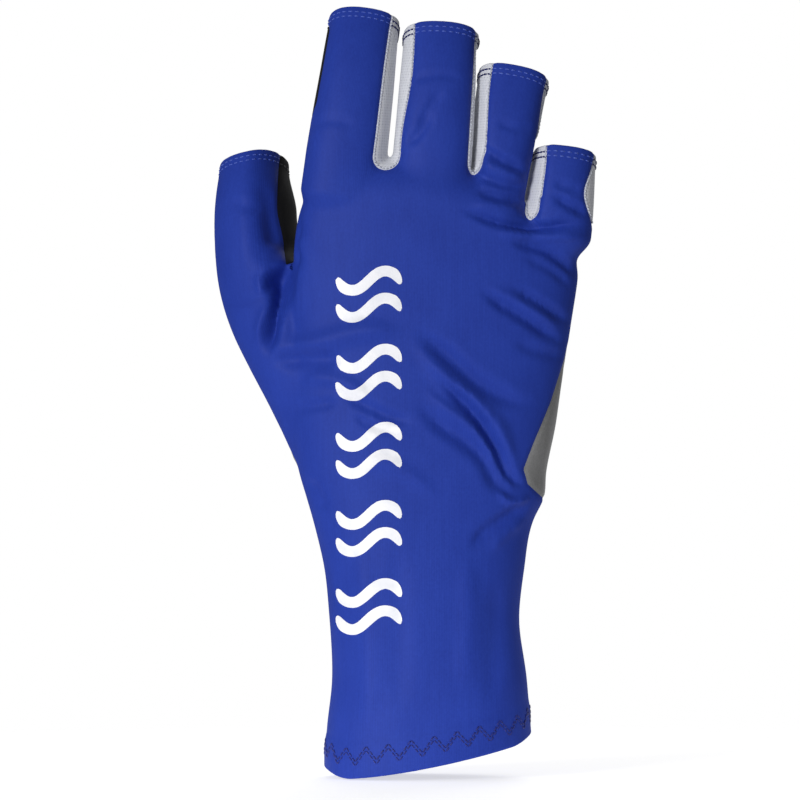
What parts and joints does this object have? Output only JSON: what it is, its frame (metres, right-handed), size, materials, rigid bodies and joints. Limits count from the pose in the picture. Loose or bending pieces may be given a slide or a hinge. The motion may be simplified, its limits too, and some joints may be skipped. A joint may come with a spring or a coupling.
{
  "type": "sailing glove",
  "caption": "Right-hand half-finger sailing glove with a long pull-on cuff: stretch cloth back, dark palm with grip patches, grey knit fourchettes, open stitched finger ends.",
  "frame": {"origin": "centre of the opening that the hand enters, at the cuff's nominal edge", "axes": "+Z from the cuff towards the fingertips, +Y out of the palm, -Y out of the back of the hand, +X towards the little finger"},
  "size_m": [0.1186, 0.0527, 0.2402],
  "materials": {
    "back_cloth": "satin stretch jersey with a fine vertical rib",
    "palm_leather": "matt suede-like synthetic leather",
    "fourchette_cloth": "matt knit with a micro-dot mesh",
    "grip_leather": "matt grip leather with sewn edges",
    "label": "satin woven tape"
  },
  "bodies": {
    "cuff": {"cuff_back": "back_cloth", "cuff_palm": "back_cloth", "cuff_hem": "back_cloth", "size_label": "label", "wrist_band": "back_cloth"},
    "hand": {"back_panel": "back_cloth", "palm_panel": "palm_leather", "palm_grip_patch": "grip_leather", "palm_heel_pad": "grip_leather", "fourchette_web_index_middle": "fourchette_cloth", "fourchette_web_middle_ring": "fourchette_cloth", "fourchette_web_ring_little": "fourchette_cloth", "index_knuckle_band": "back_cloth", "middle_knuckle_band": "back_cloth", "ring_knuckle_band": "back_cloth", "little_knuckle_band": "back_cloth", "thumb_base_band": "back_cloth"},
    "index_stall": {"index_back": "back_cloth", "index_palm": "palm_leather", "index_fourchette": "fourchette_cloth", "index_hem": "back_cloth", "index_grip_patch": "grip_leather"},
    "middle_stall": {"middle_back": "back_cloth", "middle_palm": "palm_leather", "middle_fourchette_thumb_side": "fourchette_cloth", "middle_fourchette_little_side": "fourchette_cloth", "middle_hem": "back_cloth", "middle_grip_patch": "grip_leather"},
    "ring_stall": {"ring_back": "back_cloth", "ring_palm": "palm_leather", "ring_fourchette_thumb_side": "fourchette_cloth", "ring_fourchette_little_side": "fourchette_cloth", "ring_hem": "back_cloth"},
    "little_stall": {"little_back": "back_cloth", "little_palm": "palm_leather", "little_fourchette": "fourchette_cloth", "little_side_panel": "fourchette_cloth", "little_hem": "back_cloth"},
    "thumb_stall": {"thumb_back": "back_cloth", "thumb_palm": "palm_leather", "thumb_hem": "back_cloth", "thumb_grip_patch": "grip_leather"}
  },
  "joints": [
    {"name": "wrist_bend", "type": "hinge", "parent": "cuff", "child": "hand", "pos_m": [0, 0.0003, 0.075], "axis": [-1, 0, 0], "range_deg": [-45, 45], "deforming": ["wrist_band"]},
    {"name": "index_flex", "type": "hinge", "parent": "hand", "child": "index_stall", "pos_m": [-0.0242, -0.0032, 0.1974], "axis": [-0.9912, 0, 0.1323], "range_deg": [0, 70], "deforming": ["index_knuckle_band"]},
    {"name": "middle_flex", "type": "hinge", "parent": "hand", "child": "middle_stall", "pos_m": [0.0021, -0.0032, 0.196], "axis": [-0.9978, 0, 0.0663], "range_deg": [0, 70], "deforming": ["middle_knuckle_band"]},
    {"name": "ring_flex", "type": "hinge", "parent": "hand", "child": "ring_stall", "pos_m": [0.0242, -0.0031, 0.1917], "axis": [-0.9917, 0, 0.1288], "range_deg": [0, 65], "deforming": ["ring_knuckle_band"]},
    {"name": "little_flex", "type": "hinge", "parent": "hand", "child": "little_stall", "pos_m": [0.0427, -0.003, 0.1741], "axis": [-0.998, 0, 0.0628], "range_deg": [0, 60], "deforming": ["little_knuckle_band"]},
    {"name": "thumb_flex", "type": "hinge", "parent": "hand", "child": "thumb_stall", "pos_m": [-0.0503, 0.0095, 0.145], "axis": [-0.956, 0, -0.2933], "range_deg": [-15, 40], "deforming": ["thumb_base_band"]}
  ]
}
